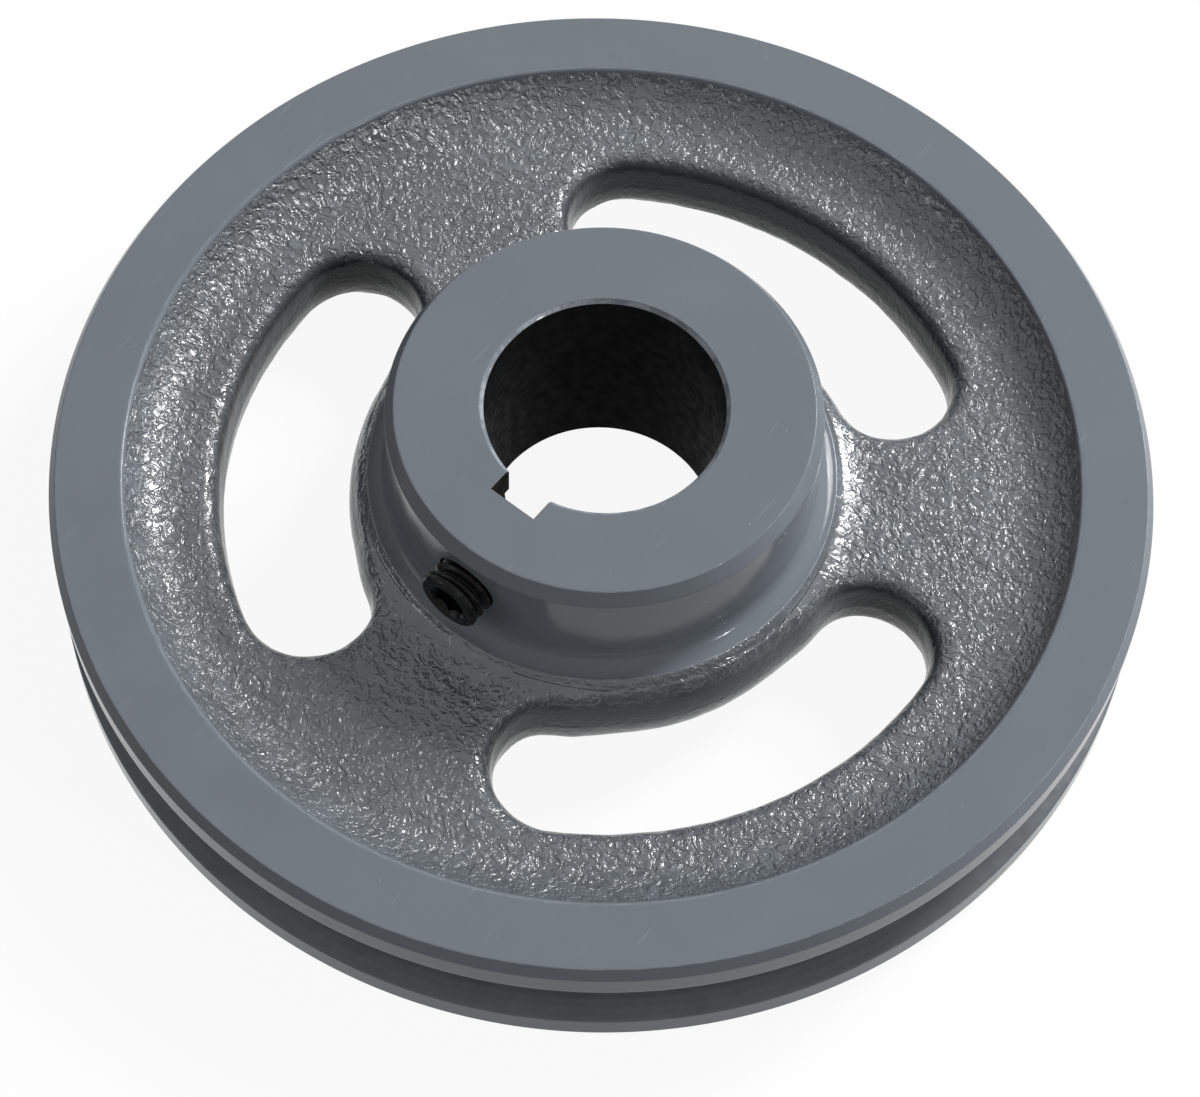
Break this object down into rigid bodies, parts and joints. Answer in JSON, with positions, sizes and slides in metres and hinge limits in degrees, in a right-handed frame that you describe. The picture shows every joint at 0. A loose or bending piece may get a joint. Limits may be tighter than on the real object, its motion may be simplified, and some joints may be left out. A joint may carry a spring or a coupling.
{
  "type": "v-belt pulley",
  "caption": "Cast-iron V-belt pulley with a dished web, kidney windows, and a keyed hub standing out on one side with a socket set screw.",
  "frame": {"origin": "centre of the bore on the plane of the rim's back face", "axes": "+Z along the bore towards the standing hub, -Y through the keyway and the set screw"},
  "size_m": [0.1334, 0.1334, 0.0318],
  "materials": {
    "painted_casting": "grey satin paint, turned faces smooth, web as cast",
    "black_steel": "black oxide"
  },
  "bodies": {
    "pulley": {"pulley": "painted_casting"},
    "set_screw": {"set_screw": "black_steel"}
  },
  "joints": [
    {"name": "set_screw_slide", "type": "slide", "parent": "pulley", "child": "set_screw", "axis": [0, 1, 0], "range_m": [0, 0.0024]}
  ]
}
